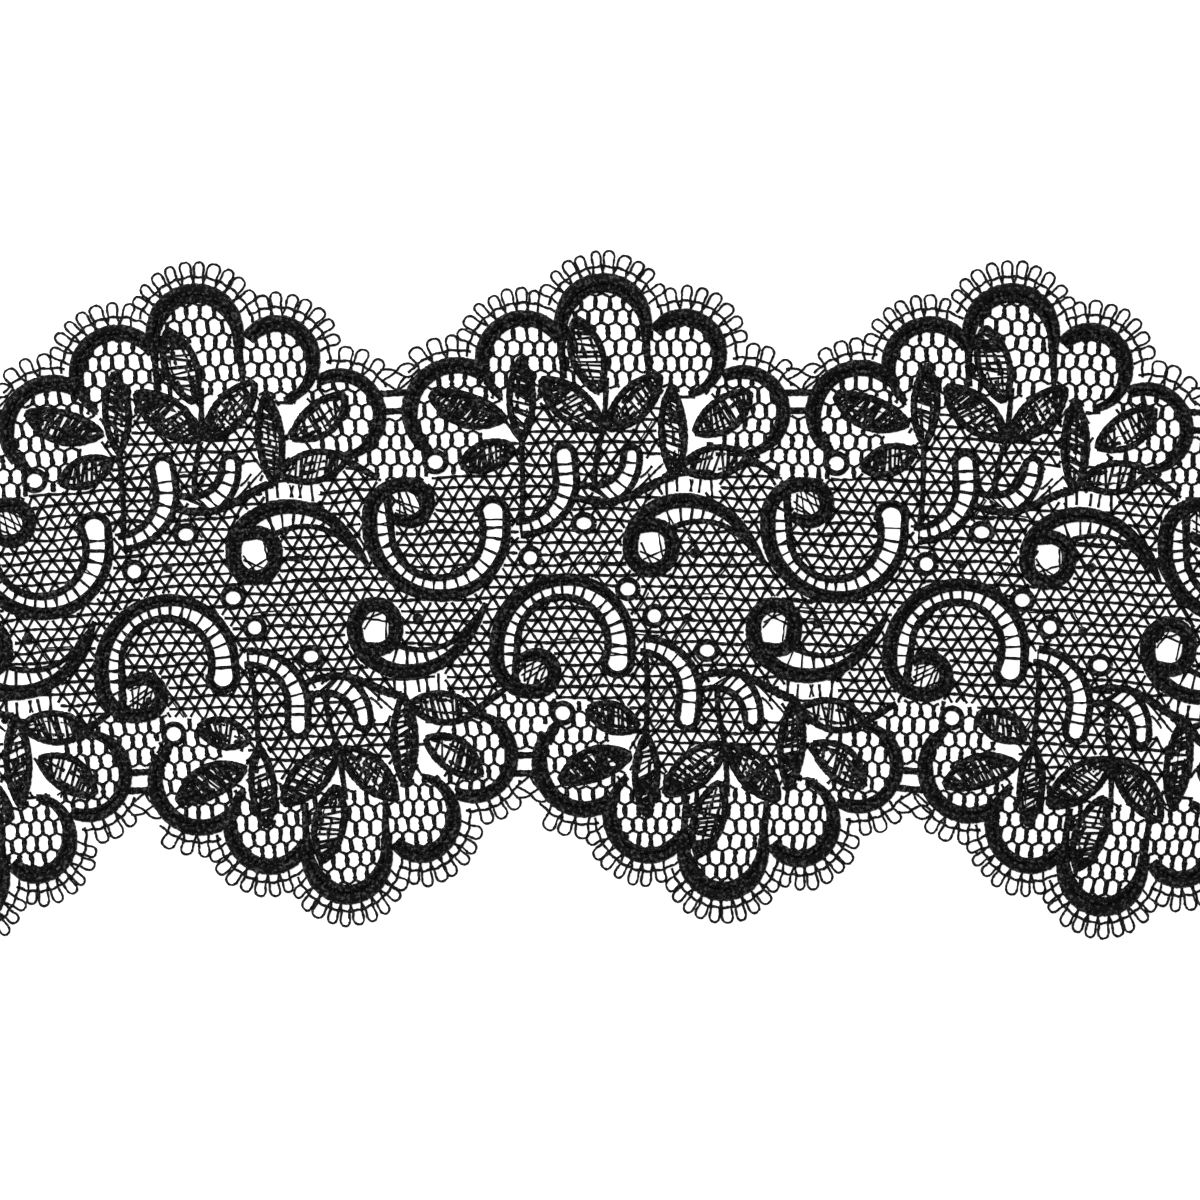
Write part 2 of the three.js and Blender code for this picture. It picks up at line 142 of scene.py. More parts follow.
class Needlework:
    """The threads of one piece, gathered one by one and then built as one mesh."""

    def __init__(self):
        self.threads = []

    def thread(self, points, half_width, half_height, level):
        """Adds a thread along points in metres, cut off where the trim is cut."""
        points = np.asarray(points, float)
        sizes = [np.broadcast_to(np.asarray(size, float) * MM, len(points))
                 for size in (half_width, half_height, level)]
        x = points[:, 0] / MM + CUT_MIDDLE
        for start, end in stretches((x > CUT_LEFT) & (x < CUT_RIGHT), 2):
            self.threads.append([points[start:end]] + [size[start:end] for size in sizes])

    def piece(self, name, sides, material):
        """Builds the mesh: each thread a closed tube with its own run of stitches."""
        groups = {}
        for thread in self.threads:
            groups.setdefault(len(thread[0]), []).append(thread)
        corners, stitches, faces = [], [], []
        base = 0
        turn = 2 * math.pi * np.arange(sides) / sides - math.pi / 2
        for count, threads in sorted(groups.items()):
            points, widths, heights, levels = [np.stack(column) for column in zip(*threads)]
            way = np.gradient(points, axis=1)
            length = np.maximum(np.linalg.norm(way, axis=2, keepdims=True), 1e-9)
            aside = np.stack([-way[..., 1], way[..., 0]], axis=-1) / length
            outward = widths[..., None, None] * np.cos(turn)[:, None]
            across = points[:, :, None, :] + aside[:, :, None, :] * outward
            upward = levels[..., None] + heights[..., None] * np.sin(turn)
            corners.append(np.concatenate([across, upward[..., None]], axis=-1).reshape(-1, 3))
            run = np.cumsum(length[..., 0], axis=1) + dice.random((len(threads), 1)) * 10 * MM
            stitches.append(np.repeat(run[..., None], sides, axis=2).reshape(-1))
            first = base + np.arange(len(threads))[:, None, None] * count * sides
            ring = first + np.arange(count - 1)[None, :, None] * sides
            here = ring + np.arange(sides)
            there = ring + np.roll(np.arange(sides), -1)
            quads = np.stack([here, there, there + sides, here + sides], axis=-1).reshape(-1, 4)
            faces.extend(quads.tolist())
            starts = base + np.arange(len(threads)) * count * sides
            faces.extend((starts[:, None] + np.arange(sides)[::-1]).tolist())
            faces.extend((starts[:, None] + (count - 1) * sides + np.arange(sides)).tolist())
            base += len(threads) * count * sides
        mesh = bpy.data.meshes.new(name)
        mesh.from_pydata(np.concatenate(corners), [], faces)
        mesh.polygons.foreach_set("use_smooth", np.ones(len(mesh.polygons), bool))
        mark = mesh.attributes.new("run", "FLOAT", "POINT")
        mark.data.foreach_set("value", np.concatenate(stitches).astype(np.float32))
        mesh.materials.append(material)
        piece = bpy.data.objects.new(name, mesh)
        bpy.context.scene.collection.objects.link(piece)
        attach(piece, "root")
        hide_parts("lace")
        return piece


def uneven(count, share):
    """One factor near 1 for each stitch."""
    return 1 + share * np.clip(dice.standard_normal(count), -2, 2)


def double_cord(work, points, normals, width, inside, motif):
    """Two satin ridges side by side, the narrow one on the inside of the curve."""
    ridges = ((OUTER_SHARE, -inside, OUTER_HEIGHT), (INNER_SHARE, inside, INNER_HEIGHT))
    for share, side, height in ridges:
        offset = side * width * (1 - share) / 2
        ridge = points + normals * offset[:, None]
        half = width * share / 2 * uneven(len(points), WIDTH_UNEVEN)
        tall = RIDGE_HEIGHT * height * np.minimum(1, width / FULL_CORD) * uneven(len(points), HEIGHT_UNEVEN)
        work.thread(place(ridge, motif), half, tall, RIDGE_LEVEL * height)


def black_thread(name, stitch, ridge, darkest, painted_sheen_grey):
    """Black rayon thread. The light that the filaments of each stitch catch is painted into its colour
    as small pale grains, a painted sheen, and the stitches lie across the cord, this far apart, as fine
    ridges."""
    material = bpy.data.materials.new(name)
    material.use_nodes = True
    nodes = material.node_tree.nodes
    links = material.node_tree.links
    nodes.clear()
    output = nodes.new("ShaderNodeOutputMaterial")
    shader = nodes.new("ShaderNodeBsdfPrincipled")
    shader.inputs["Roughness"].default_value = 0.45
    shader.inputs["Specular IOR Level"].default_value = 0.16
    shader.inputs["Sheen Weight"].default_value = 0.02
    shader.inputs["Sheen Roughness"].default_value = 0.4
    links.new(shader.outputs["BSDF"], output.inputs["Surface"])
    where = nodes.new("ShaderNodeTexCoord")
    grain_and_sheen = nodes.new("ShaderNodeTexNoise")
    grain_and_sheen.inputs["Scale"].default_value = 1500
    grain_and_sheen.inputs["Detail"].default_value = 3
    grain_and_sheen.inputs["Roughness"].default_value = 0.6
    links.new(where.outputs["Object"], grain_and_sheen.inputs["Vector"])
    # Painted sheen: this ramp paints the light that the filaments catch into the base colour, from the
    # thread's own black up to pale grey grains.
    painted_sheen_ramp = nodes.new("ShaderNodeValToRGB")
    painted_sheen_ramp.color_ramp.elements[0].position = 0.53
    painted_sheen_ramp.color_ramp.elements[0].color = (darkest, darkest, darkest * 1.1, 1)
    painted_sheen_ramp.color_ramp.elements[1].position = 0.72
    painted_sheen_ramp.color_ramp.elements[1].color = (painted_sheen_grey, painted_sheen_grey, painted_sheen_grey * 1.08, 1)
    links.new(grain_and_sheen.outputs["Fac"], painted_sheen_ramp.inputs["Fac"])
    links.new(painted_sheen_ramp.outputs["Color"], shader.inputs["Base Color"])
    run = nodes.new("ShaderNodeAttribute")
    run.attribute_name = "run"
    turns = nodes.new("ShaderNodeMath")
    turns.operation = "MULTIPLY"
    turns.inputs[1].default_value = 2 * math.pi / (stitch * MM)
    links.new(run.outputs["Fac"], turns.inputs[0])
    wave = nodes.new("ShaderNodeMath")
    wave.operation = "SINE"
    links.new(turns.outputs["Value"], wave.inputs[0])
    relief = nodes.new("ShaderNodeMath")
    relief.operation = "ADD"
    links.new(wave.outputs["Value"], relief.inputs[0])
    links.new(grain_and_sheen.outputs["Fac"], relief.inputs[1])
    bump = nodes.new("ShaderNodeBump")
    bump.inputs["Strength"].default_value = 0.7
    bump.inputs["Distance"].default_value = ridge * MM
    links.new(relief.outputs["Value"], bump.inputs["Height"])
    links.new(bump.outputs["Normal"], shader.inputs["Normal"])
    return material


def scallop_rim(scallop):
    """Points along the middle of a scallop's cord, and the way outwards."""
    length = math.radians(scallop["to"] - scallop["from"]) * (scallop["ru"] + scallop["rv"]) / 2
    angle = np.radians(np.linspace(scallop["from"], scallop["to"], int(length / SATIN_STEP)))
    outward = np.stack([np.cos(angle), np.sin(angle)], axis=-1)
    reach = np.array([scallop["ru"], scallop["rv"]])
    return np.array([scallop["u"], scallop["v"]]) + outward * reach, outward


def scallop_width(scallop, cord, count):
    """The cord's width along a scallop, drawn in towards its ends."""
    angle = np.linspace(scallop["from"], scallop["to"], count)
    grown = np.clip((angle - scallop["from"]) / cord["start_over"], 0, 1)
    left = np.clip((scallop["to"] - angle) / cord["end_over"], 0, 1)
    thinner = (cord["full"] - cord["start"]) * (1 - grown) + (cord["full"] - cord["end"]) * (1 - left)
    return cord["full"] - thinner


# The last number is the grey of the pale grains of painted sheen on the satin.
satin = black_thread("satin_stitch", 0.36, 0.16, 0.0005, 0.14)
rims = Needlework()
for motif in MOTIFS:
    for scallop, cord in zip(SCALLOPS, SCALLOP_CORDS):
        middle, outward = scallop_rim(scallop)
        double_cord(rims, middle, outward, scallop_width(scallop, cord, len(middle)), -1, motif)
scallop_cords = rims.piece("scallop_cords", RIDGE_SIDES, satin)

# The two heavy scrolls
# Each repeat has a crook that starts in a curl, runs down and round and ends in a hook, and a
# scroll that springs from a curl and arches over to a point. Both are double satin cords, made
# as the scallops' are. A stroke runs from its start along arcs and straight runs: left turns
# are positive, and each width is the cord's where that arc or run ends.
HEAVY_STROKES = {
    "crook": {
        "start": [-43.5, 15.2], "heading": -40, "width": 2.1, "inside": 1,
        "legs": [
            {"radius": 5.5, "turn": 40, "width": 3.0},
            {"radius": 3.8, "turn": 180, "width": 3.1},
            {"run": 1.2, "width": 3.1},
            {"radius": 7, "turn": 90, "width": 3.3},
            {"run": 1.5, "width": 3.3},
            {"radius": 14.5, "turn": 90, "width": 2.7},
            {"radius": 13.4, "turn": 90, "width": 1.9},
            {"run": 3.4, "width": 1.7},
            {"radius": 2.8, "turn": 180, "width": 1.7},
            {"run": 0.8, "width": 1.6},
        ],
    },
    "arch": {
        "start": [6.6, 12.3], "heading": 8, "width": 2.9, "inside": -1,
        "legs": [
            {"run": 2.6, "width": 3},
            {"radius": 3.9, "turn": -98, "width": 3.1},
            {"run": 1.1, "width": 3.1},
            {"radius": 4.3, "turn": -180, "width": 3.3},
            {"run": 0.8, "width": 3.4},
            {"radius": 8.1, "turn": -45, "width": 3.4},
            {"radius": 12.2, "turn": -45, "width": 3.2},
            {"radius": 15, "turn": -46, "width": 2.5},
            {"radius": 28, "turn": -18, "width": 1.4},
            {"run": 1.4, "width": 1},
        ],
    },
}


def walk(stroke, step):
    """Follows a stroke and gives its points, the way to its left, its widths and its legs."""
    spot = np.array(stroke["start"], float)
    heading = math.radians(stroke["heading"])
    width = stroke["width"]
    points, headings, widths, legs = [spot[None]], [[heading]], [[width]], [[0]]
    for number, leg in enumerate(stroke["legs"]):
        turn = math.radians(leg.get("turn", 0))
        length = leg["run"] if "run" in leg else leg["radius"] * abs(turn)
        count = max(1, round(length / step))
        share = np.arange(1, count + 1) / count
        ahead = heading + turn * share
        if turn:
            side = math.copysign(leg["radius"], turn)
            centre = spot + side * np.array([-math.sin(heading), math.cos(heading)])
            path = centre + side * np.stack([np.sin(ahead), -np.cos(ahead)], axis=-1)
        else:
            path = spot + np.outer(share * length, [math.cos(heading), math.sin(heading)])
        points.append(path)
        headings.append(ahead)
        widths.append(width + (leg["width"] - width) * share)
        legs.append(np.full(count, number))
        spot, heading, width = path[-1], heading + turn, leg["width"]
    heading = np.concatenate(headings)
    left = np.stack([-np.sin(heading), np.cos(heading)], axis=-1)
    return np.concatenate(points), left, np.concatenate(widths), np.concatenate(legs)


scrolls = Needlework()
for motif in MOTIFS:
    for stroke in HEAVY_STROKES.values():
        points, left, width, legs = walk(stroke, SATIN_STEP)
        double_cord(scrolls, points, left, width, stroke["inside"], motif)
scroll_cords = scrolls.piece("scroll_cords", RIDGE_SIDES, satin)

# The fine cords
# Single satin cords, most of them 1.2 to 2 mm wide, draw the lines inside the scrolls, the two
# narrow hooks, the vine, the stems that carry the leaves, the legs and tails of the scallops
# and the bars that tie one repeat to the next.
FINE_STROKES = {
    "crook_lining": {
        "start": [-44.6, 21], "heading": -85, "width": 1.9,
        "legs": [
            {"run": 10.4, "width": 1.6},
            {"radius": 9.3, "turn": 85, "width": 1.7},
            {"radius": 9.4, "turn": 90, "width": 1.7},
            {"radius": 12, "turn": 23, "width": 1.6},
        ],
    },
    "arch_lining": {
        "start": [12.6, 11.6], "heading": 32, "width": 1.4,
        "legs": [
            {"radius": 13, "turn": -32, "width": 1.2},
            {"radius": 12, "turn": -47, "width": 1.3},
            {"run": 6, "width": 1},
        ],
    },
    "left_hook": {
        "start": [-18.4, 13.4], "heading": 0, "width": 1.6,
        "legs": [
            {"radius": 8.3, "turn": 96, "width": 1.6},
            {"run": 4.2, "width": 1.5},
            {"radius": 2.1, "turn": -180, "width": 1.5},
            {"run": 3.8, "width": 1.6},
            {"radius": 11.5, "turn": -96, "width": 1.7},
        ],
    },
    "right_hook": {
        "start": [-5.4, 21.1], "heading": -20, "width": 1.6,
        "legs": [
            {"radius": 6, "turn": 20, "width": 1.6},
            {"run": 0.9, "width": 1.6},
            {"radius": 6, "turn": 84, "width": 1.6},
            {"run": 1.2, "width": 1.5},
            {"radius": 1.6, "turn": -174, "width": 1.5},
            {"run": 0.8, "width": 1.5},
            {"radius": 10.5, "turn": -50, "width": 1.5},
            {"run": 2, "width": 1.4},
        ],
    },
    "vine": {
        "start": [-7, 18.8], "heading": -26, "width": 1.5,
        "legs": [
            {"radius": 14, "turn": 54, "width": 1.8},
            {"run": 5, "width": 1.9},
            {"radius": 9, "turn": -24, "width": 1.6},
        ],
    },
    "leaf_stem": {
        "start": [-17, 30.3], "heading": -89, "width": 1.3,
        "legs": [{"run": 8.6, "width": 1.2}, {"radius": 60, "turn": -8, "width": 1.3}],
    },
    "fork_stem": {
        "start": [-0.4, 32], "heading": 87, "width": 1.3,
        "legs": [{"run": 11, "width": 1.2}],
    },
    "heart_stem": {
        "start": [-0.5, 32], "heading": -109, "width": 1.2,
        "legs": [{"radius": 32, "turn": 20, "width": 1.3}],
    },
    "shoulder": {
        "start": [29, 26.7], "heading": -32, "width": 1.8,
        "legs": [{"run": 7.2, "width": 1.4}],
    },
    "first_tail": {
        "start": [-38.2, 31.9], "heading": -56, "width": 3,
        "legs": [{"run": 4.6, "width": 1.9}],
    },
    "second_tail": {
        "start": [-24.6, 46.8], "heading": -88, "width": 3,
        "legs": [{"radius": 11, "turn": 46, "width": 1.5}],
    },
    "left_leg": {
        "start": [-8.8, 52.5], "heading": -92, "width": 2.6,
        "legs": [{"radius": 62, "turn": 3, "width": 1.6}, {"radius": 62, "turn": 6, "width": 1.4}],
    },
    "right_leg": {
        "start": [7.9, 52.5], "heading": -86, "width": 2.1,
        "legs": [{"run": 3.5, "width": 1.6}, {"run": 5.5, "width": 1.2}],
    },
    "upper_tie": {
        "start": [34.5, 40.2], "heading": 2, "width": 1.5,
        "legs": [{"run": 7.5, "width": 1.5}],
    },
    "lower_tie": {
        "start": [34.5, 36.5], "heading": 2, "width": 1.5,
        "legs": [{"run": 7.5, "width": 1.5}],
    },
}
FINE_STEP = 0.35
FINE_SIDES = 7
FINE_LEVEL = 0.72
FINE_HEIGHT = 0.5
FINE_WIDTH_UNEVEN = 0.07
FINE_HEIGHT_UNEVEN = 0.06

fine_work = Needlework()
for motif in MOTIFS:
    for stroke in FINE_STROKES.values():
        points, left, width, legs = walk(stroke, FINE_STEP)
        half = width / 2 * uneven(len(points), FINE_WIDTH_UNEVEN)
        tall = FINE_HEIGHT * uneven(len(points), FINE_HEIGHT_UNEVEN)
        fine_work.thread(place(points, motif), half, tall, FINE_LEVEL)
fine_cords = fine_work.piece("fine_cords", FINE_SIDES, satin)

# The leaves
# Nine leaves to a repeat. A fine cord runs up each side from the foot to the tip, and cross
# stitches fill the leaf: close satin where it is dark, and bars with gaps between them where
# it is open. dense gives the stretch with close satin, as shares of the leaf from its foot, and
# rows the number of lines of short uneven threads that run along it and break the gaps up.
LEAVES = [
    {"foot": [-20, 34.5], "tip": [-35.5, 40], "width": 7.5, "lean": 0.8, "dense": [0, 1], "rows": 4},
    {"foot": [-17, 30], "tip": [-17, 47.3], "width": 6.2, "lean": 0, "dense": [0.5, 1], "rows": 2},
    {"foot": [-0.5, 32], "tip": [-13.2, 42.8], "width": 8, "lean": 0, "dense": [0.62, 1], "rows": 5},
    {"foot": [-1.4, 39.7], "tip": [-6, 55.5], "width": 7.6, "lean": 0, "dense": [0.66, 1], "rows": 3},
    {"foot": [0.2, 32.2], "tip": [11, 43.8], "width": 7.6, "lean": -0.2, "dense": [0.68, 1], "rows": 5},
    {"foot": [14, 22], "tip": [13, 41.5], "width": 6.2, "lean": 0, "dense": [0.6, 1], "rows": 3},
    {"foot": [17.8, 31.6], "tip": [29.1, 40.4], "width": 7.8, "lean": -0.6, "dense": [0.68, 1], "rows": 3},
    {"foot": [15, 24.5], "tip": [29, 27], "width": 7.4, "lean": 0, "dense": [0.68, 1], "rows": 2},
    {"foot": [-18.5, 29], "tip": [-29.5, 25], "width": 7, "lean": 0, "dense": [0.5, 1], "rows": 3},
]
LEAF_FULLNESS = 0.6  # below 1 a leaf is fuller near its ends
LEAF_CORD = 1.5
LEAF_HEIGHT = 0.52
LEAF_LEVEL = 0.75
FIRST_STITCH = 0.07  # the stretch that is filled, as shares of a leaf from its foot
LAST_STITCH = 0.95
DENSE_PITCH = 0.7
DENSE_STITCH = 0.86
OPEN_PITCH = 1.04
OPEN_STITCH = 0.7
STITCH_POINTS = 5
ROW_THREAD = 0.76
ROW_HEIGHT = 0.3
ROW_POINTS = 9
FILL_HEIGHT = 0.27
FILL_LEVEL = 0.62
ROW_LEVEL = FILL_LEVEL + 0.08
BARE_SIDES = 6


def leaf_side(leaf, share, sign, inset):
    """Points on one side of a leaf, at these shares of its length from the foot."""
    foot = np.array(leaf["foot"], float)
    way = np.array(leaf["tip"]) - foot
    left = np.array([-way[1], way[0]]) / np.linalg.norm(way)
    swell = np.sin(math.pi * np.clip(share, 0, 1))
    half = np.maximum(leaf["width"] / 2 * swell ** LEAF_FULLNESS - inset, 0)
    return foot + np.outer(share, way) + np.outer(sign * half + leaf["lean"] * swell, left)


def leaf_bars(leaf):
    """The cross stitches of a leaf, each as its two ends and its width."""
    length = np.linalg.norm(np.array(leaf["tip"]) - leaf["foot"])
    share = FIRST_STITCH
    while share < LAST_STITCH:
        dense = leaf["dense"][0] <= share <= leaf["dense"][1]
        slant = (0.2 + 1.4 * dice.random()) / length
        sides = [leaf_side(leaf, np.array([share + sign * slant]), sign, LEAF_CORD / 2)[0]
                 for sign in (1, -1)]
        yield sides, (DENSE_STITCH if dense else OPEN_STITCH) * uneven(1, 0.12)[0]
        share += (DENSE_PITCH if dense else OPEN_PITCH) * uneven(1, 0.34)[0] / length


outline_work = Needlework()
filling_work = Needlework()
for motif in MOTIFS:
    for leaf in LEAVES:
        length = np.linalg.norm(np.array(leaf["tip"]) - leaf["foot"])
        share = np.linspace(0, 1, int(length / FINE_STEP))
        for sign in (1, -1):
            side = leaf_side(leaf, share, sign, LEAF_CORD / 2)
            half = LEAF_CORD / 2 * uneven(len(side), FINE_WIDTH_UNEVEN)
            tall = LEAF_HEIGHT * uneven(len(side), FINE_HEIGHT_UNEVEN)
            outline_work.thread(place(side, motif), half, tall, LEAF_LEVEL)
        for (start, end), stitch in leaf_bars(leaf):
            bar = start + np.outer(np.linspace(0, 1, STITCH_POINTS), end - start)
            half = stitch / 2 * uneven(STITCH_POINTS, 0.1)
            filling_work.thread(place(bar, motif), half, FILL_HEIGHT, FILL_LEVEL)
        for row in range(leaf["rows"]):
            first = 0.05 + 0.06 * dice.random()
            while first < 0.8:
                last = min(first + 0.16 + 0.3 * dice.random(), LAST_STITCH)
                share = np.linspace(first, last, ROW_POINTS)
                sides = [leaf_side(leaf, share, sign, LEAF_CORD / 2) for sign in (1, -1)]
                across = (2 * row + 1) / leaf["rows"] - 1 + dice.normal(0, 0.16)
                path = (sides[0] + sides[1]) / 2 + (sides[0] - sides[1]) / 2 * across * 0.85
                path = path + dice.normal(0, 0.08, path.shape)
                half = ROW_THREAD / 2 * uneven(ROW_POINTS, 0.4)
                filling_work.thread(place(path, motif), half, ROW_HEIGHT, ROW_LEVEL)
                first = last + 0.08 * dice.random()
leaf_outlines = outline_work.piece("leaf_outlines", FINE_SIDES, satin)
# The last number is the grey of the pale grains of painted sheen on the filling.
filling_thread = black_thread("filling_stitch", 0.3, 0.1, 0.0005, 0.12)
leaf_filling = filling_work.piece("leaf_filling", BARE_SIDES, filling_thread)

# Rings and knots
# Small rings of satin cord fill the places between the scrolls, the fourth only on the upper
# edge, and two solid knots sit in the net. They are stitched with the rest.
RINGS = [
    {"u": -34.5, "v": 26, "ru": 2.1, "rv": 2, "upper_only": False},
    {"u": -4.5, "v": 13, "ru": 2.1, "rv": 1.8, "upper_only": False},
    {"u": -15.5, "v": 6, "ru": 1.95, "rv": 1.95, "upper_only": False},
    {"u": 4.5, "v": -0.5, "ru": 2.1, "rv": 1.9, "upper_only": True},
]
RING_CORD = 1.25
RING_POINTS = 37
KNOTS = [{"u": -8.6, "v": 6.3, "across": 1.9}, {"u": 18.2, "v": 7, "across": 2.1}]
KNOT_HEIGHT = 0.55


def on_oval(oval, angle):
    """Points on the edge of an oval."""
    u = oval["u"] + oval["ru"] * np.cos(angle)
    v = oval["v"] + oval["rv"] * np.sin(angle)
    return np.stack([u, v], axis=-1)


ring_work = Needlework()
for motif in MOTIFS:
    for ring in RINGS:
        if ring["upper_only"] and motif["side"] < 0:
            continue
        points = on_oval(ring, np.linspace(0, 2 * math.pi, RING_POINTS))
        half = RING_CORD / 2 * uneven(RING_POINTS, 0.05)
        ring_work.thread(place(points, motif), half, FINE_HEIGHT, FINE_LEVEL)
    for knot in KNOTS:
        reach = np.linspace(-1, 1, 9)
        swell = np.sqrt(1.05 - reach ** 2)
        points = np.array([knot["u"], knot["v"]]) + np.outer(reach * knot["across"] / 2, [1, 0.3])
        half = knot["across"] / 2 * swell
        ring_work.thread(place(points, motif), half, KNOT_HEIGHT * swell, FINE_LEVEL)
rings_and_knots = ring_work.piece("rings_and_knots", RIDGE_SIDES, satin)

# Ladders
# Short bars of bare thread tie each scroll to the cord inside it and the two sides of each
# hook, about 2 mm apart. Some are two strands that cross.
LADDER_PITCH = 1.95
BAR_THREAD = 0.7
BARE_HEIGHT = 0.42  # half the height of a bare thread, as a share of its width
BAR_LEVEL = 0.55
CROSSED_SHARE = 0.4
BAR_POINTS = 6
LADDERS = [  # from some legs of one stroke across to those of another, whose edge bounds the hollow
    {"rail": "crook_lining", "legs": [0, 3], "skip": [3.4, 2],
     "other": "crook", "across": [3, 7], "edge": [3, 9]},
    {"rail": "arch_lining", "legs": [0, 1], "skip": [1.2, 4],
     "other": "arch", "across": [5, 8], "edge": [5, 8]},
    {"rail": "left_hook", "legs": [0, 1], "skip": [1, 1.6],
     "other": "left_hook", "across": [3, 4], "edge": [2, 4]},
    {"rail": "right_hook", "legs": [0, 3], "skip": [1.2, 1],
     "other": "right_hook", "across": [5, 7], "edge": [4, 7]},
]
ARCH_BARS = [  # from the arching scroll up to the leaf above it
    {"from": [12.2, 23.2], "to": [12.4, 18.6]}, {"from": [14.4, 22.6], "to": [14.5, 19.6]},
    {"from": [17.4, 22.2], "to": [17.2, 19.6]}, {"from": [19.2, 22.2], "to": [18.9, 19.4]},
    {"from": [21.4, 22.4], "to": [21.6, 18.6]},
]
SHORT_BARS = [  # beside the third scallop's leg, the seventh leaf and the second scallop's tail
    {"from": [-8.9, 51.6], "to": [-6.9, 51.4]}, {"from": [-8.9, 49.4], "to": [-6.9, 49.1]},
    {"from": [-8.7, 47.2], "to": [-6.2, 46.9]}, {"from": [-8.5, 45.1], "to": [-5, 45.2]},
    {"from": [21.2, 39.9], "to": [22.8, 38]}, {"from": [23.6, 41.8], "to": [25, 39.6]},
    {"from": [26.5, 43.2], "to": [27.3, 40.6]}, {"from": [-24.6, 42.9], "to": [-25.6, 41.2]},
    {"from": [-23.5, 41.4], "to": [-24.4, 40]}, {"from": [-22.4, 40.1], "to": [-23.1, 38.9]},
]
STROKES = {**HEAVY_STROKES, **FINE_STROKES}


def part_of(name, first, last, step):
    """The points of some legs of a stroke."""
    points, left, width, legs = walk(STROKES[name], step)
    return points[(legs >= first) & (legs <= last)]


def spaced(points, pitch, skip):
    """Points at a pitch along a path, leaving out a length at each end."""
    run = np.concatenate([[0], np.cumsum(np.linalg.norm(np.diff(points, axis=0), axis=1))])
    marks = np.arange(skip[0], run[-1] - skip[1], pitch)
    return np.stack([np.interp(marks, run, points[:, axis]) for axis in (0, 1)], axis=-1)


def add_bar(work, start, end, thread, motif):
    """A bar between two points, sometimes of two strands that cross."""
    strands = [(0, 0, thread)]
    if dice.random() < CROSSED_SHARE:
        gap = 0.2 + 0.25 * dice.random()
        strands = [(-gap, gap, thread * 0.75), (gap, -gap * 0.4, thread * 0.75)]
    way = (end - start) / max(np.linalg.norm(end - start), 0.01)
    aside = np.array([-way[1], way[0]])
    for before, after, size in strands:
        ends = [start + aside * before, end + aside * after]
        bar = ends[0] + np.outer(np.linspace(0, 1, BAR_POINTS), ends[1] - ends[0])
        bar = bar + dice.normal(0, 0.03, (BAR_POINTS, 2))
        half = size / 2 * uneven(BAR_POINTS, 0.12)
        work.thread(place(bar, motif), half, size * BARE_HEIGHT, BAR_LEVEL)


ladder_work = Needlework()
ladder_hollows = []
for ladder in LADDERS:
    near = part_of(ladder["rail"], *ladder["legs"], 1)
    far = part_of(ladder["other"], *ladder["edge"], 1)
    back = far if ladder["rail"] == ladder["other"] else far[::-1]
    ladder_hollows.append(np.concatenate([near, back]))
    rail = part_of(ladder["rail"], *ladder["legs"], 0.2)
    other = part_of(ladder["other"], *ladder["across"], 0.2)
    for motif in MOTIFS:
        for start in spaced(rail, LADDER_PITCH * uneven(1, 0.03)[0], ladder["skip"]):
            start = start + dice.normal(0, 0.12, 2)
            end = other[np.argmin(np.linalg.norm(other - start, axis=1))]
            add_bar(ladder_work, start, end, BAR_THREAD * uneven(1, 0.15)[0], motif)
for motif in MOTIFS:
    for bar in ARCH_BARS + SHORT_BARS:
        add_bar(ladder_work, np.array(bar["from"]), np.array(bar["to"]), BAR_THREAD, motif)
# The last number is the grey of the pale grains of painted sheen on the bare thread.
net_thread = black_thread("net_thread", 0.5, 0.08, 0.0005, 0.05)
ladder_bars = ladder_work.piece("ladder_bars", BARE_SIDES, net_thread)

# The net inside the scallops
# A six-sided net fills the scallops and the place between two repeats down to the crook's
# curl. Its upright threads are thick and ragged, because the machine sews them three times,
# and the slanting ones are thin. It stops at the leaves, at the hollows of the scrolls and at
# the larger gaps that the pattern leaves open.
HEX_PITCH = 2.74
HEX_ROW = 3.12
HEX_POINTS = 6
HEX_CORNER = [0.6, 21]  # a crossing of the lowest row, near the middle of the motif
HEX_ROWS = range(14)
HEX_COLUMNS = range(-17, 19)
UPRIGHT_LENGTH = 2.4
UPRIGHT_THREAD = 1.12
SLANT_THREAD = 0.68
NET_LEVEL = 0.42
NET_HEIGHT = 0.3  # the most that half a net thread is high
NET_OVERLAP = 0.4  # how far a net runs under the edge of a cord
VALLEY = [
    [29.5, 27], [35.3, 22.6], [41.2, 20.6], [45.2, 22.6], [45.8, 27],
    [43.3, 30.2], [42.2, 33], [41.7, 36.3], [34, 36.3], [32.6, 29.4],
]
RING_CORNER = [[-37.5, 22.8], [-30, 23.4], [-21, 29], [-26, 34], [-36, 29.5]]
UNDER_SCALLOPS = [
    [-9, 53], [9, 53], [9.6, 42.5], [4, 39.4], [0.6, 40.6], [-1.5, 40.2], [-4.4, 39.4], [-8.6, 43.2],
]
OPEN_GAPS = [
    [[-24.9, 32], [-21, 33.9], [-19.2, 30.6]],
    [[15.9, 38.4], [17.4, 38.6], [20.4, 39.4], [21.8, 39.2], [18.6, 34.4], [16.6, 33.6]],
    [[-3.2, 39.2], [-1.7, 40.2], [-0.6, 39.4], [-0.7, 35.6]],
    [[0.6, 40.6], [3.4, 41.4], [2, 38.6], [1, 36], [0.2, 36.8]],
    [[15.9, 29.2], [16.6, 31.4], [18.6, 31], [20.4, 29.4], [16.8, 28]],
    [[7.2, 25.6], [9.8, 27.6], [11.5, 25.8], [10.9, 22.9], [7.9, 19.6], [4.4, 18.4], [6.2, 21.8]],
    [[11.2, 20.3], [13.2, 22.6], [17.5, 22.2], [22.8, 22], [22.8, 19.4], [17, 19.6], [14, 19.4]],
    [[38, 37.2], [38, 39.6], [41, 39.6], [41, 37.2]],
]
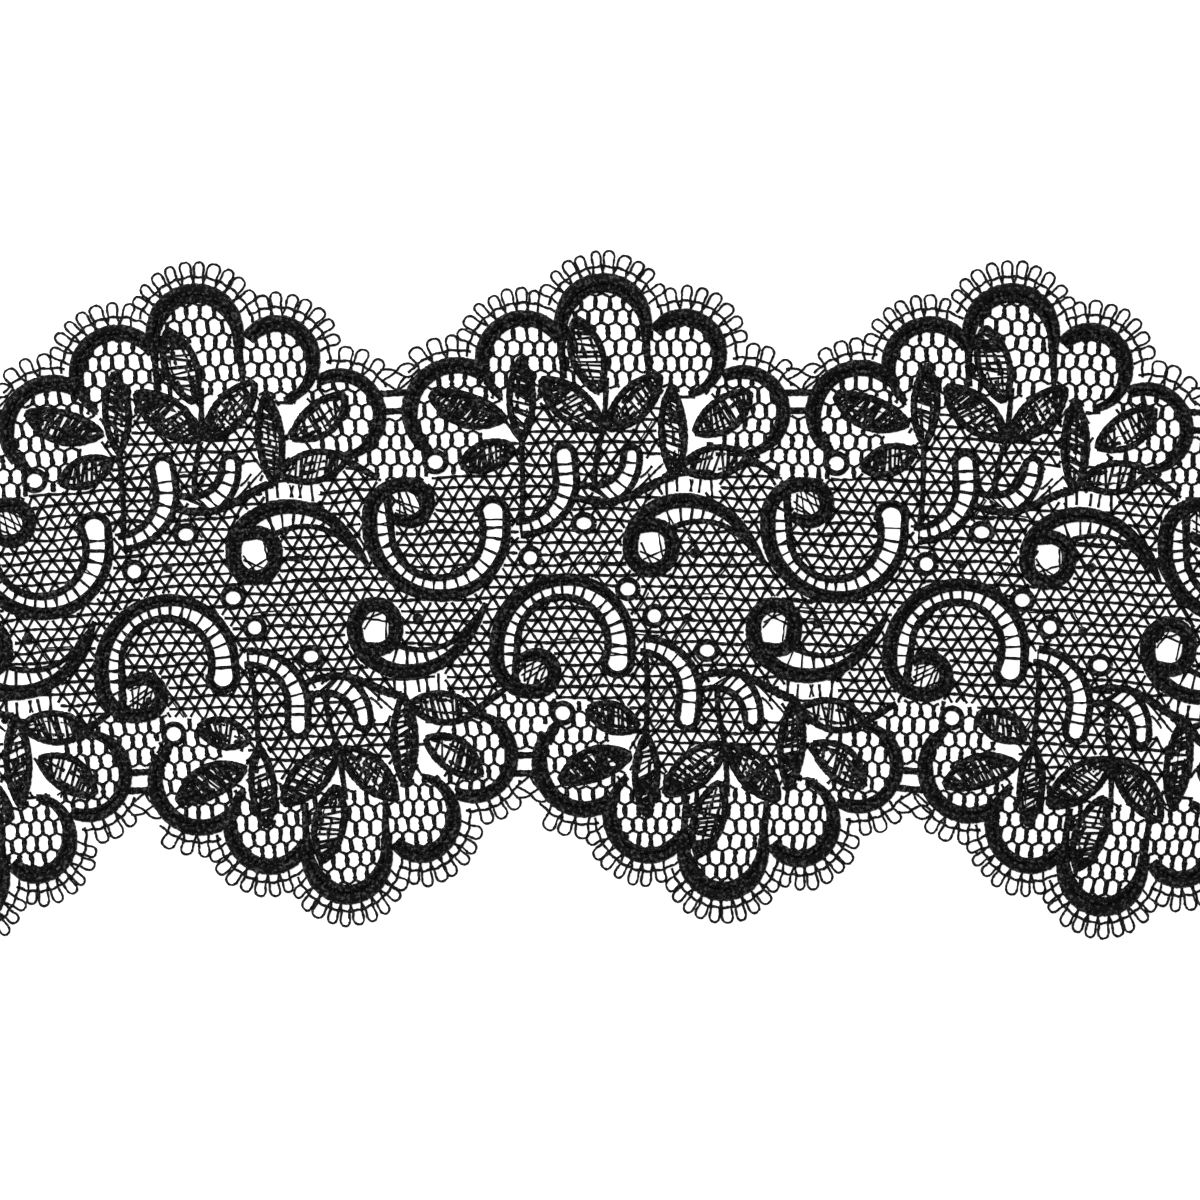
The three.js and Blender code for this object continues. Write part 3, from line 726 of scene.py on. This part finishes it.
EYES = [  # inside the crook's curl and the arching scroll's
    {"u": -40, "v": 17.7, "ru": 3.1, "rv": 3.1},
    {"u": 9.8, "v": 7.8, "ru": 2.9, "rv": 3.3},
]


def inside(points, outline):
    """Which points lie inside a closed outline."""
    outline = np.asarray(outline, float)
    found = np.zeros(len(points), bool)
    near = np.flatnonzero(np.all((points >= outline.min(0)) & (points <= outline.max(0)), axis=1))
    x, y = points[near].T
    within = np.zeros(len(near), bool)
    for (ax, ay), (bx, by) in zip(outline, np.roll(outline, 1, axis=0)):
        if ay != by:
            within ^= ((ay > y) != (by > y)) & (x < (bx - ax) * (y - ay) / (by - ay) + ax)
    found[near] = within
    return found


def in_oval(points, oval):
    """Which points lie inside an oval."""
    u = (points[:, 0] - oval["u"]) / oval["ru"]
    v = (points[:, 1] - oval["v"]) / oval["rv"]
    return u ** 2 + v ** 2 < 1


def leaf_edge(leaf):
    """The whole outline of a leaf, a little inside its cord."""
    share = np.linspace(0, 1, 15)
    sides = leaf_side(leaf, share, 1, NET_OVERLAP), leaf_side(leaf, share[::-1], -1, NET_OVERLAP)
    return np.concatenate(sides)


def stroke_band(stroke):
    """The outline of a heavy stroke, a little inside its edges."""
    points, left, width, legs = walk(stroke, 1)
    half = (width / 2 - NET_OVERLAP)[:, None]
    return np.concatenate([points + left * half, (points - left * half)[::-1]])


leaf_edges = [leaf_edge(leaf) for leaf in LEAVES]
bands = [stroke_band(stroke) for stroke in HEAVY_STROKES.values()]


def has_no_net(points, side):
    """Which points of the motif carry no net, because something else fills the place or it is open."""
    found = np.zeros(len(points), bool)
    for outline in leaf_edges + ladder_hollows + bands + OPEN_GAPS:
        found |= inside(points, outline)
    for ring in RINGS:
        if side > 0 or not ring["upper_only"]:
            found |= in_oval(points, ring)
    for eye in EYES:
        found |= in_oval(points, eye)
    return found


def in_scallops(points):
    """Which points lie in the fields that carry the six-sided net."""
    found = inside(points, VALLEY) | inside(points, RING_CORNER) | inside(points, UNDER_SCALLOPS)
    for scallop in SCALLOPS:
        found |= in_oval(points, scallop)
    return found


def slack(points, seed):
    """How far a point of a net has been pulled out of its even place."""
    x, y = points.T
    pulls = []
    for number in range(2):
        phase = seed * 1.7 + number * 2.1
        pulls.append(0.13 * np.sin(x / 1.9 + y / 2.6 + phase)
                     + 0.1 * np.sin(y / 1.4 - x / 3.1 + phase * 1.3)
                     + 0.12 * np.sin(x / 4.7 - phase) * np.cos(y / 3.9 + phase))
    return points + np.stack(pulls, axis=-1)


def hex_threads():
    """Every thread of the six-sided net in one repeat, with its thickness."""
    for row in HEX_ROWS:
        for column in HEX_COLUMNS:
            spot = np.array([(column + row % 2 / 2) * HEX_PITCH, row * HEX_ROW]) + HEX_CORNER
            top = spot + [0, UPRIGHT_LENGTH / 2]
            yield spot - [0, UPRIGHT_LENGTH / 2], top, UPRIGHT_THREAD
            for side in (-1, 1):
                yield top, top + [side * HEX_PITCH / 2, HEX_ROW - UPRIGHT_LENGTH], SLANT_THREAD


scallop_work = Needlework()
starts, ends, threads = [np.array(column) for column in zip(*hex_threads())]
hex_points = starts[:, None] + np.linspace(0, 1, HEX_POINTS)[:, None] * (ends - starts)[:, None]
flat_points = hex_points.reshape(-1, 2)
hex_kept = (in_scallops(flat_points) & ~has_no_net(flat_points, 1)).reshape(-1, HEX_POINTS)
hex_pieces = [(line[first:last], thread) for line, thread, kept in zip(hex_points, threads, hex_kept)
              for first, last in stretches(kept, 3)]
for number, motif in enumerate(MOTIFS):
    for points, thread in hex_pieces:
        rough = 0.16 if thread == UPRIGHT_THREAD else 0.1
        path = slack(points, number) + dice.normal(0, 0.035, points.shape)
        half = thread / 2 * uneven(len(points), rough)
        scallop_work.thread(place(path, motif), half, min(thread * BARE_HEIGHT, NET_HEIGHT), NET_LEVEL)
scallop_net = scallop_work.piece("scallop_net", BARE_SIDES, net_thread)

# The net of the middle
# Everything else between the two edges is a three-sided net: long threads parallel to the
# trim, and slanting ones both ways that cross on them. Each is bare thread, sewn over once, and
# here and there a thin second strand runs beside it.
NET_ROW = 2.29
NET_PITCH = 3.05
NET_THREAD = 0.68
NET_REACH = 41.3
NET_SPARE = 5  # beyond each cut
STEPS_A_MESH = 4
KNOT_SWELL = 0.3
SECOND_STRANDS = 0.27  # the share of the stretches that carry a thin second strand
SECOND_THREAD = 0.28  # half its width and height, as shares of the net's thread
THIN_SIDES = 5
MOTIF_REACH = 0.65 * REPEAT  # how far a motif can reach along the trim, and past its middle line
MOTIF_BELOW = -8
FIELD_TOP = 36.6  # the net ends here, but for the field between the leaves
LEAF_FIELD = [[-30, 36], [-16.5, 46.5], [-0.5, 53], [15.5, 47.5], [27.5, 36]]


def in_middle(points):
    """Which points of the straight pattern carry the three-sided net."""
    kept = np.ones(len(points), bool)
    for motif in MOTIFS:
        own = np.stack([points[:, 0] - motif_start(motif), motif["side"] * points[:, 1]], axis=-1)
        own = spin(own, motif["turn"])
        near = np.flatnonzero((np.abs(own[:, 0]) < MOTIF_REACH) & (own[:, 1] > MOTIF_BELOW))
        spots = own[near]
        beyond = (spots[:, 1] > FIELD_TOP) & (np.abs(spots[:, 0]) < REPEAT / 2)
        beyond &= ~inside(spots, LEAF_FIELD)
        kept[near] &= ~(has_no_net(spots, motif["side"]) | in_scallops(spots) | beyond)
    return kept


def net_lines():
    """The straight lines of the three-sided net: where each starts, its way, length and step."""
    rows = int(NET_REACH / NET_ROW)
    left = CUT_LEFT - NET_SPARE
    span = CUT_RIGHT - CUT_LEFT + 2 * NET_SPARE
    for row in range(-rows, rows + 1):
        yield np.array([left, row * NET_ROW]), np.array([1.0, 0.0]), span, NET_PITCH / STEPS_A_MESH
    way = np.array([NET_PITCH / 2, NET_ROW])
    rise = 2 * rows * np.linalg.norm(way)
    for sign in (1, -1):
        slope = way * [sign, 1] / np.linalg.norm(way)
        lean = rows * NET_PITCH
        for number in range(int((span + lean) / NET_PITCH) + 1):
            foot = left + (number * NET_PITCH - (lean if sign > 0 else 0))
            yield np.array([foot, -rows * NET_ROW]), slope, rise, np.linalg.norm(way) / STEPS_A_MESH


middle_work = Needlework()
net_points = [start + np.outer(np.arange(0, length, step), way)
              for start, way, length, step in net_lines()]
line_ends = np.cumsum([len(points) for points in net_points])
net_kept = np.split(in_middle(np.concatenate(net_points)), line_ends[:-1])
for points, kept in zip(net_points, net_kept):
    knot = 1 + KNOT_SWELL * (np.arange(len(points)) % STEPS_A_MESH == 0)
    for first, last in stretches(kept, 3):
        spots = slack(points[first:last], 0) + dice.normal(0, 0.03, (last - first, 2))
        half = NET_THREAD / 2 * knot[first:last] * uneven(last - first, 0.1)
        middle_work.thread(bend(*spots.T), half, NET_THREAD * BARE_HEIGHT, NET_LEVEL)
        for begin in range(0, last - first - 2 * STEPS_A_MESH, 2 * STEPS_A_MESH):
            if dice.random() < SECOND_STRANDS:
                beside = spots[begin:begin + 2 * STEPS_A_MESH + 1] + dice.normal(0, 0.3, 2)
                thin = NET_THREAD * SECOND_THREAD
                middle_work.thread(bend(*beside.T), thin, thin, NET_LEVEL)
middle_net = middle_work.piece("middle_net", THIN_SIDES, net_thread)

# The chain and the loops of the edge
# Outside every scallop's cord runs a thin chain, and on it stand loops of bare thread side by
# side, as picots do. Each loop's two feet run through the chain to the cord and hold it.
LOOP_THREAD = 0.6
LOOP_HEIGHT = 0.22
LOOP_LEVEL = 0.5
LOOP_LIFT = 0.5  # the most that a loop's tip stands up from its feet
LOOP_POINTS = 30
CHAIN_THREAD = 0.66
CHAIN_HEIGHT = 0.24
CHAIN_STEP = 2.1  # degrees
CHAIN_WANDER = 0.12
EDGES = [  # the chain's way outside the cord's middle, where it runs, and the loops that stand on it
    {"out": 3.1, "chain": [76, 141], "loops": 3, "first": 86, "last": 129},
    {"out": 3.2, "chain": [57, 175], "loops": 7, "first": 72, "last": 163},
    {"out": 3.4, "chain": [13, 159], "loops": 10, "first": 29, "last": 152},
    {"out": 3.4, "chain": [-4, 122], "loops": 7, "first": 12.5, "last": 109},
    {"out": 3, "chain": [30, 103], "loops": 3, "first": 43, "last": 89},
]
LOOP_TALL = 1.04  # the height of a scallop's middle loop, as a share of the shape below
LOOP_FALL = 0.22  # the loops at the ends of a scallop are shorter by this share
LOOP_SHAPE = [  # rise from the chain in millimetres, and the way aside in shares of the pitch
    {"across": -0.56, "rise": -1.8}, {"across": -0.46, "rise": -0.9}, {"across": -0.36, "rise": 0},
    {"across": -0.35, "rise": 0.9}, {"across": -0.36, "rise": 1.7}, {"across": -0.32, "rise": 2.3},
    {"across": -0.2, "rise": 2.8}, {"across": 0.01, "rise": 2.95}, {"across": 0.21, "rise": 2.75},
    {"across": 0.33, "rise": 2.2}, {"across": 0.36, "rise": 1.6}, {"across": 0.35, "rise": 0.8},
    {"across": 0.35, "rise": 0}, {"across": 0.45, "rise": -0.9}, {"across": 0.55, "rise": -1.8},
]


def smooth(points, count):
    """A soft curve through given points."""
    points = np.asarray(points, float)
    knots = np.arange(len(points))
    slope = np.gradient(points, axis=0)
    at = np.linspace(0, len(points) - 1, count)
    left = np.minimum(at.astype(int), len(points) - 2)
    share = (at - left)[:, None]
    a, b = points[left], points[left + 1]
    m, n = slope[left], slope[left + 1]
    return (a * (1 + 2 * share) * (1 - share) ** 2 + m * share * (1 - share) ** 2
            + b * share ** 2 * (3 - 2 * share) + n * share ** 2 * (share - 1))


def on_rim(scallop, degrees, offset):
    """Points at these angles round a scallop, this far outside the middle of its cord."""
    angle = np.radians(degrees)
    u = scallop["u"] + (scallop["ru"] + offset) * np.cos(angle)
    v = scallop["v"] + (scallop["rv"] + offset) * np.sin(angle)
    return np.stack([u, v], axis=-1)


chain_work = Needlework()
loop_work = Needlework()
across = np.array([mark["across"] for mark in LOOP_SHAPE])
rise = np.array([mark["rise"] for mark in LOOP_SHAPE])
for motif in MOTIFS:
    for scallop, edge in zip(SCALLOPS, EDGES):
        angles = np.arange(*edge["chain"], CHAIN_STEP)
        wander = edge["out"] + CHAIN_WANDER * np.sin(np.arange(len(angles)) * 0.9 + motif["along"])
        chain = on_rim(scallop, angles, wander) + dice.normal(0, 0.03, (len(angles), 2))
        half = CHAIN_THREAD / 2 * uneven(len(angles), 0.12)
        chain_work.thread(place(chain, motif), half, CHAIN_HEIGHT, NET_LEVEL)
        pitch = (edge["last"] - edge["first"]) / edge["loops"]
        for loop in range(edge["loops"]):
            middle = edge["first"] + (loop + 0.5 + dice.normal(0, 0.05)) * pitch
            aside = (loop + 0.5) / edge["loops"] * 2 - 1
            tall = LOOP_TALL - LOOP_FALL * aside ** 4 + dice.normal(0, 0.04)
            height = edge["out"] + np.where(rise > 0, rise * tall, rise)
            wide = across * uneven(1, 0.08)[0] + dice.normal(0, 0.06) * np.maximum(rise, 0) / 3
            path = smooth(on_rim(scallop, middle + wide * pitch, height), LOOP_POINTS)
            path = path + dice.normal(0, 0.025, path.shape)
            arc = np.sin(np.linspace(0, math.pi, LOOP_POINTS))
            level = LOOP_LEVEL + arc * LOOP_LIFT * dice.random()
            half = LOOP_THREAD / 2 * uneven(LOOP_POINTS, 0.12)
            loop_work.thread(place(path, motif), half, LOOP_HEIGHT, level)
edge_chain = chain_work.piece("edge_chain", THIN_SIDES, net_thread)
edge_loops = loop_work.piece("edge_loops", THIN_SIDES, net_thread)

# Loose threads
# The machine leaves single strands where it jumps: across the eyes of the two curls, across
# the open places under the leaves, and as an uneven web in the valley between two repeats.
# angles are the two places on the rim of an eye that a strand joins.
STRANDS = [
    {"eye": 0, "angles": [140, 226]}, {"eye": 0, "angles": [120, 262]},
    {"eye": 0, "angles": [101, 300]}, {"eye": 0, "angles": [80, 322]},
    {"eye": 0, "angles": [60, 345]}, {"eye": 0, "angles": [205, 292]},
    {"eye": 0, "angles": [150, 330]}, {"eye": 0, "angles": [168, 306]},
    {"eye": 0, "angles": [112, 8]}, {"eye": 1, "angles": [172, 266]},
    {"eye": 1, "angles": [192, 300]}, {"eye": 1, "angles": [222, 352]},
    {"eye": 1, "angles": [62, 318]}, {"eye": 1, "angles": [40, 340]},
]
VALLEY_WEB = [
    [[36, 45.2], [37.4, 45.3], [38.8, 45.1], [39.1, 44.7]],
    [[36.1, 42.8], [38, 43.9], [39.1, 44.7], [40.2, 46], [41.8, 46.4], [43.4, 45.6]],
    [[39.1, 44.7], [41.1, 43.7], [42.4, 43.9], [43.8, 45.2]],
    [[36.8, 42.6], [38.2, 41.7], [39.4, 40.8]],
    [[41.1, 43.7], [39.9, 42.3], [39.4, 40.8]],
    [[42.8, 43.6], [40.8, 41.9], [39.4, 40.8]],
]
UNDER_LEAVES = [
    [[11.6, 25.4], [8.9, 22.6], [5, 18.6]],
    [[8.7, 23.3], [9, 21.9], [10.2, 20.6]],
    [[7, 22.4], [8.2, 23.4], [9.4, 24.9]],
]
STRAND = 0.5
STRAND_POINTS = 7

loose_work = Needlework()
for motif in MOTIFS:
    for strand in STRANDS:
        eye = EYES[strand["eye"]]
        ends = np.radians(np.array(strand["angles"]) + dice.normal(0, 5, 2))
        rim = on_oval(eye, ends)
        path = rim[0] + np.outer(np.linspace(0, 1, STRAND_POINTS), rim[1] - rim[0])
        path = path + dice.normal(0, 0.05, path.shape)
        half = STRAND / 2 * uneven(STRAND_POINTS, 0.15)
        loose_work.thread(place(path, motif), half, STRAND / 2, BAR_LEVEL)
    for route in VALLEY_WEB + UNDER_LEAVES:
        path = smooth(route, 6 * len(route))
        path = path + dice.normal(0, 0.02, path.shape)
        half = LOOP_THREAD / 2 * uneven(len(path), 0.1)
        loose_work.thread(place(path, motif), half, LOOP_HEIGHT, BAR_LEVEL)
loose_threads = loose_work.piece("loose_threads", THIN_SIDES, net_thread)

# The table, the light and the camera
# The photo's even white ground is a matt white table under a wide soft light, seen from
# straight above.
VIEW_WIDTH = 1200 / 4.858 * MM
VIEW_MIDDLE = (-0.0002, -0.00066)
LENS = 100
SENSOR = 36
TABLE_HALF = 1.5  # in metres, as all in this section
TABLE_DROP = 0.0001


def table_paint():
    """Matt white that glows a little, as a light table does."""
    material = bpy.data.materials.new("white_table")
    material.use_nodes = True
    shader = material.node_tree.nodes["Principled BSDF"]
    shader.inputs["Base Color"].default_value = (0.9, 0.9, 0.9, 1)
    shader.inputs["Roughness"].default_value = 0.9
    shader.inputs["Specular IOR Level"].default_value = 0.1
    shader.inputs["Emission Color"].default_value = (1, 1, 1, 1)
    shader.inputs["Emission Strength"].default_value = 0.8
    return material


table_mesh = bpy.data.meshes.new("white_table")
table_corners = [(TABLE_HALF * x, TABLE_HALF * y, -TABLE_DROP)
                 for x, y in ((-1, -1), (1, -1), (1, 1), (-1, 1))]
table_mesh.from_pydata(table_corners, [], [(0, 1, 2, 3)])
table_mesh.materials.append(table_paint())
table = bpy.data.objects.new("white_table", table_mesh)
bpy.context.scene.collection.objects.link(table)
table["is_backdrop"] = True

world = bpy.data.worlds.new("studio")
world.use_nodes = True
world.node_tree.nodes["Background"].inputs["Color"].default_value = (1, 1, 1, 1)
world.node_tree.nodes["Background"].inputs["Strength"].default_value = 0.4
bpy.context.scene.world = world

lamp = bpy.data.lights.new("soft_box", "AREA")
lamp.shape = "SQUARE"
lamp.size = 0.5
lamp.energy = 5
soft_box = bpy.data.objects.new("soft_box", lamp)
soft_box.location = (-0.35, 0.3, 0.6)
soft_box.rotation_euler = (math.radians(-27), math.radians(-30), 0)
bpy.context.scene.collection.objects.link(soft_box)

camera_data = bpy.data.cameras.new("camera")
camera_data.lens = LENS
camera_data.sensor_width = SENSOR
camera_data.clip_start = 0.01
camera = bpy.data.objects.new("camera", camera_data)
camera.location = (*VIEW_MIDDLE, VIEW_WIDTH * LENS / SENSOR)
bpy.context.scene.collection.objects.link(camera)
bpy.context.scene.camera = camera
bpy.context.scene.view_settings.view_transform = "Standard"

boxes = {"cad": cad_box, "visual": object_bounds()}
{name: [list(corner) for corner in box] for name, box in boxes.items()}
